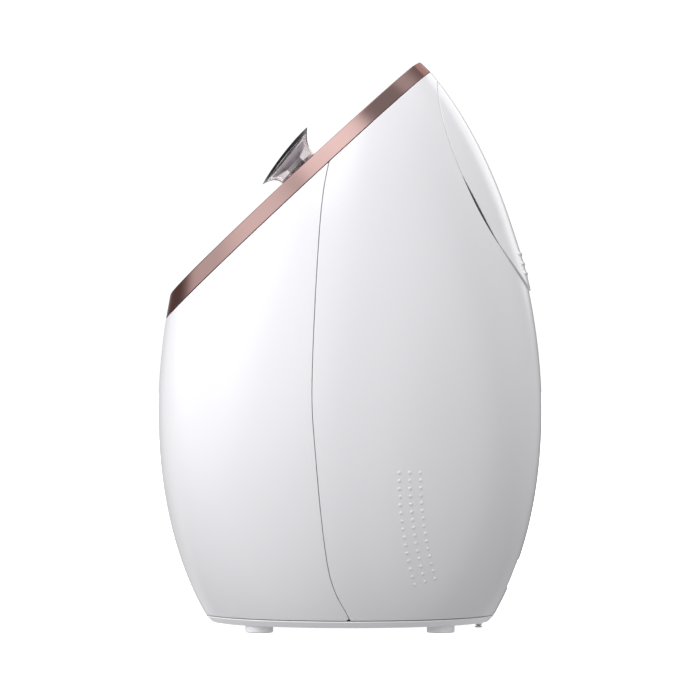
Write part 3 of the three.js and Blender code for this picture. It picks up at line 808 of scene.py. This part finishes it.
def nozzle_collar():
    outline = rounded([
        (3.4, -16, 0.2),
        (4.6, -16, 0.3),
        (4.6, -9, 0.3),
        (14, -9, 0.4),
        (14, -0.95, 0.1),
        (17, -0.95, 0.2),
        (16.4, 0.6, 0.7),
        (10.9, 0.6, 0.3),
        (10.9, -7.5, 0.3),
        (3.4, -7.5, 0.3),
    ])
    return stands_for(turned("nozzle_collar_ring", outline, along_slope(NOZZLE_UP), 96), "nozzle_collar")


def nozzle_base():
    outline = rounded([
        (7.5, -6.5, 0.2),
        (10.6, -6.5, 0.3),
        (10.6, -3.9, 0.1),
        (9.4, -3.9, 0.2),
        (9.4, -2.1, 0.2),
        (10.6, -2.1, 0.1),
        (10.6, 2, 0.4),
        (7.5, 2, 0.2),
    ])
    made = turned("nozzle_base_sleeve", outline, along_slope(NOZZLE_UP), 96)
    stands_for(made, "nozzle_base")
    seal = rounded([(9.7, -3.6, 0.35), (10.4, -3.6, 0.35), (10.4, -2.4, 0.35), (9.7, -2.4, 0.35)], 6)
    stands_for(turned("nozzle_o_ring_seal", seal, along_slope(NOZZLE_UP), 96), "nozzle_o_ring")


# The nozzle's own heights and radii, in millimetres, as its outlines are.
LIFT, RIM_TOP, RIM_RADIUS, FLARE_FROM = 2.3, 11.3, 17.8, 10.8
RIM_TILT = math.radians(9)
RIM_SHIFT = -0.5 * MM
SADDLE = 0.7 * MM  # how much the rim's two sides rise over its ends


def leaned(ring):
    """Places turned points on the slope, leaning the upper ones until the rim is tilted to the front."""
    share = np.maximum(ring[..., 2] / MM - LIFT, 0) / (RIM_TOP - LIFT)
    tilt = RIM_TILT * share
    rise = SADDLE * share * (ring[..., 1] / (RIM_RADIUS * MM)) ** 2
    up = ring[..., 0] * np.cos(tilt) + RIM_SHIFT * share + NOZZLE_UP
    return on_slope(up, ring[..., 1], ring[..., 2] + ring[..., 0] * np.sin(tilt) + rise)


def nozzle_horn():
    """A thin clear trumpet, a dark sharp rim and a shallow bowl round the steam outlet."""
    wall, floor_thick, rim_from = 1.2, 0.9, 0.86
    tall, spread = RIM_TOP - LIFT, RIM_RADIUS - FLARE_FROM

    def flare(t, depth=0.0):
        lean = math.atan(2.5 * spread * t**1.5 / tall)
        out = FLARE_FROM + spread * t**2.5 - depth * math.cos(lean)
        return (out, LIFT + max(tall * t + depth * math.sin(lean), floor_thick if depth else 0), 0)

    outer = [flare(t) for t in np.linspace(0, rim_from, 18)]
    inner = [flare(t, wall) for t in np.linspace(rim_from, 0, 18)]
    corners = [(6, -1, 0.2), (7.2, -1, 0.2), (7.2, LIFT, 0)] + outer + inner + [(6, LIFT + floor_thick, 0.2)]
    stands_for(turned("nozzle_horn_trumpet", rounded(corners), leaned, 128), "nozzle_horn")
    rim = [flare(t) for t in np.linspace(rim_from + 0.006, 1, 7)]
    rim += [(RIM_RADIUS, RIM_TOP, 0.05), (15.2, RIM_TOP, 0.1), flare(rim_from + 0.006, wall)]
    goes_with(turned("nozzle_horn_rim", rounded(rim), leaned, 128), "nozzle_horn", RIM)

    def dish(r, thick=0.0):
        return (r, 6.4 + 0.0205 * r * r - thick, 0)

    top = [dish(r) for r in np.linspace(11.8, 3.4, 12)]
    under = [dish(r, 1.1) for r in np.linspace(4.6, 10.5, 8)]
    bowl = rounded([(3.4, 1, 0.3), (4.6, 1, 0.3)] + under + [(11.5, 8.7, 0.2)] + top)
    stands_for(turned("nozzle_bowl_dish", bowl, leaned, 128), "nozzle_bowl", material=BOWL)


def buttons():
    for name, side in (("power", -1), ("mode", 1)):
        dish = [(5.5 * k / 5, -0.78 + 0.22 * (k / 5) ** 2, 0) for k in range(5)]
        corners = (
            [(0, -9, 0), (2, -9, 0.2), (2, -5, 0.2), (7.2, -5, 0.2)]
            + [(7.2, -4, 0.2), (6, -4, 0.1), (6, -0.5, 0.35)]
            + dish[:0:-1]
            + [(0, -0.78, 0)]
        )
        profile = rounded(corners, closed=False)
        place = along_slope(BUTTON_UP, side * BUTTON_ACROSS)
        made = turned(f"{name}_button_cap", profile, place, 64, closed=False)
        stands_for(made, f"{name}_button")
    lens = rounded([(0, -3.9, 0), (1.6, -3.9, 0.15), (1.6, -0.9, 0.3), (0, -0.8, 0)], closed=False)
    made = turned("indicator_lens_pipe", lens, along_slope(LENS_UP), 32, closed=False)
    stands_for(made, "indicator_lens")


# ---------------------------------------------------------------- underneath


def base_plate():
    low, high = PLATE_LOW / MM, SHELL_FOOT / MM - 0.2
    outline = rounded([(0, low, 0), (68, low, 0.8), (71.5, high, 0.4), (0, high, 0)], closed=False)
    made = turned("base_plate_dish", outline, upright(), 256, closed=False, squeeze=NARROW)
    return stands_for(made, "base_plate")


def feet_and_screws():
    for end in ("front", "rear"):
        for hand in ("left", "right"):
            low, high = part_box(f"foot_{end}_{hand}")
            middle, r, top = (low + high) / 2, (high.x - low.x) / 2 / MM, high.z / MM
            pad = rounded([
                (0, 0.25, 0),
                (r - 2.6, 0.25, 0.3),
                (r - 2, 0, 0.2),
                (r, 0, 0.8),
                (r, top, 0.1),
                (0, top, 0),
            ], closed=False)
            made = turned(f"foot_{end}_{hand}_pad", pad, upright(middle.x, middle.y), 64, closed=False)
            stands_for(made, f"foot_{end}_{hand}")


def drain():
    low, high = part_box("drain_plug")
    x = (low.x + high.x) / 2
    outline = rounded([
        (0, 0.3, 0),
        (1.85, 0.3, 0.3),
        (1.85, 1.05, 0.25),
        (1.05, 1.2, 0.1),
        (1.05, 1.45, 0.1),
        (1.7, 1.6, 0.1),
        (1.7, 1.75, 0.05),
        (0.7, 1.8, 0),
        (0.7, 5, 0.2),
        (0, 5.3, 0),
    ], closed=False)
    stands_for(turned("drain_plug_knob", outline, upright(x), 40, closed=False), "drain_plug")


# ---------------------------------------------------------------- stage, light and camera


def backdrop_material():
    made = bpy.data.materials.new("studio_floor")
    made.use_nodes = True
    tree = made.node_tree
    shader = tree.nodes["Principled BSDF"]
    where = tree.nodes.new("ShaderNodeTexCoord")
    noise = tree.nodes.new("ShaderNodeTexNoise")
    noise.inputs["Scale"].default_value = 0.6
    tree.links.new(where.outputs["Object"], noise.inputs["Vector"])
    ramp = tree.nodes.new("ShaderNodeValToRGB")
    ramp.color_ramp.elements[0].color = (0.93, 0.93, 0.935, 1)
    ramp.color_ramp.elements[1].color = (0.95, 0.95, 0.955, 1)
    tree.links.new(noise.outputs["Fac"], ramp.inputs["Fac"])
    tree.links.new(ramp.outputs["Color"], shader.inputs["Base Color"])
    shader.inputs["Roughness"].default_value = 0.9
    shader.inputs["Emission Color"].default_value = (1, 1, 1, 1)
    shader.inputs["Emission Strength"].default_value = 0.75
    return made


def floor():
    size = 12.0
    verts = np.array([(-size, -size, 0), (size, -size, 0), (size, size, 0), (-size, size, 0)])
    made = mesh_object("studio_floor", verts, np.array([(0, 1, 2), (0, 2, 3)]))
    made.data.materials.append(backdrop_material())
    made.visible_diffuse = False
    made.visible_glossy = False


# Softboxes round the studio: azimuth and elevation, degrees across half of each, and strength.
SOFTBOXES = [
    (180, 30, 50, 1.55),  # the big one, to the left of the camera
    (225, 30, 50, 0.8),
    (225, -10, 50, 0.45),
    (270, 30, 50, 0.2),
    (315, -10, 50, 0.65),
    (0, 90, 50, 1.1),  # overhead
    (45, 30, 50, 0.5),  # behind, to the right
    (30, -5, 50, 0.17),
    (0, 30, 50, 0.2),
    (135, 30, 50, 0.25),
    (120, 5, 35, 0.4),
    (90, -50, 50, 0.7),
    (64, 22, 20, 1.1),  # three small ones that the plated ring mirrors
    (252, 54, 24, 1.9),
    (-28, -20, 25, 0.2),
]
DARK_CARDS = [(-38, 64, 20, 0.6), (126, 8, 26, 0.5)]  # black cards that the ends of the ring mirror
BACKDROP = 1.05
AMBIENT = 0.03


def aimed(azimuth, elevation):
    a, e = math.radians(azimuth), math.radians(elevation)
    return Vector((math.cos(a) * math.cos(e), math.sin(a) * math.cos(e), math.sin(e)))


def world():
    """A white backdrop for the camera and behind clear plastic, and softboxes all round."""
    made = bpy.data.worlds.new("studio")
    bpy.context.scene.world = made
    made.use_nodes = True
    tree = made.node_tree
    tree.nodes.clear()
    out = tree.nodes.new("ShaderNodeOutputWorld")
    back = tree.nodes.new("ShaderNodeBackground")
    back.inputs["Color"].default_value = (1, 1, 1, 1)
    tree.links.new(back.outputs["Background"], out.inputs["Surface"])
    where = tree.nodes.new("ShaderNodeTexCoord").outputs["Generated"]

    def plug(value, socket):
        if isinstance(value, (int, float)):
            socket.default_value = value
        else:
            tree.links.new(value, socket)

    def combined(kind, first, second):
        node = tree.nodes.new("ShaderNodeMath")
        node.operation = kind
        plug(first, node.inputs[0])
        plug(second, node.inputs[1])
        return node.outputs["Value"]

    def along(aim):
        node = tree.nodes.new("ShaderNodeVectorMath")
        node.operation = "DOT_PRODUCT"
        node.inputs[1].default_value = aim
        tree.links.new(where, node.inputs[0])
        return node.outputs["Value"]

    def ramp(value, start, end, low, high):
        node = tree.nodes.new("ShaderNodeMapRange")
        node.interpolation_type = "SMOOTHSTEP"
        plug(value, node.inputs["Value"])
        for name, number in (("From Min", start), ("From Max", end), ("To Min", low), ("To Max", high)):
            node.inputs[name].default_value = number
        return node.outputs["Result"]

    def patch(azimuth, elevation, reach, outside, inside):
        edge, middle = math.cos(math.radians(reach)), math.cos(math.radians(reach / 2))
        return ramp(along(aimed(azimuth, elevation)), edge, middle, outside, inside)

    def blend(share, first, second):
        node = tree.nodes.new("ShaderNodeMix")
        plug(share, node.inputs[0])
        plug(first, node.inputs[2])
        plug(second, node.inputs[3])
        return node.outputs[0]

    light = AMBIENT
    for azimuth, elevation, reach, strength in SOFTBOXES:
        light = combined("ADD", patch(azimuth, elevation, reach, 0, strength), light)
    for azimuth, elevation, reach, gain in DARK_CARDS:
        light = combined("MULTIPLY", light, patch(azimuth, elevation, reach, 1, gain))
    level = combined("ABSOLUTE", along(Vector((0, 0, 1))), 0)
    behind = ramp(level, 0.3, 0.7, BACKDROP, 0.3)
    ray = tree.nodes.new("ShaderNodeLightPath").outputs
    strength = blend(ray["Is Camera Ray"], blend(ray["Is Transmission Ray"], light, behind), BACKDROP)
    tree.links.new(strength, back.inputs["Strength"])


VIEW_WIDTH = 345.1 * MM  # what the picture spans at the middle of the housing
VIEW_DISTANCE = 2169 * MM
VIEW_HEIGHT = 137 * MM
SENSOR = 36.0


def camera():
    data = bpy.data.cameras.new("camera")
    data.sensor_width = SENSOR
    data.lens = SENSOR * VIEW_DISTANCE / VIEW_WIDTH
    made = bpy.data.objects.new("camera", data)
    bpy.context.collection.objects.link(made)
    made.location = (0, -VIEW_DISTANCE, VIEW_HEIGHT)
    made.rotation_euler = (math.pi / 2, 0, 0)
    bpy.context.scene.camera = made


# ---------------------------------------------------------------- the whole

camera()
world()
floor()
front_shell()
rear_shell()
grip_dots(-1)
grip_dots(1)
tank_cover()
# the black strip of painted shade in the finger gap beside the tank cover
gap_shade_strip()
trim_ring()
face_panel()
nozzle_collar()
nozzle_base()
nozzle_horn()
buttons()
base_plate()
feet_and_screws()
drain()

for name, node in frame["nodes"].items():
    if node.hide_render:
        continue
    node.data.materials.clear()
    node.data.materials.append(FINISHES[SLOTS[name]])
    tidy_shading(node)

bpy.context.scene.view_settings.view_transform = "Standard"
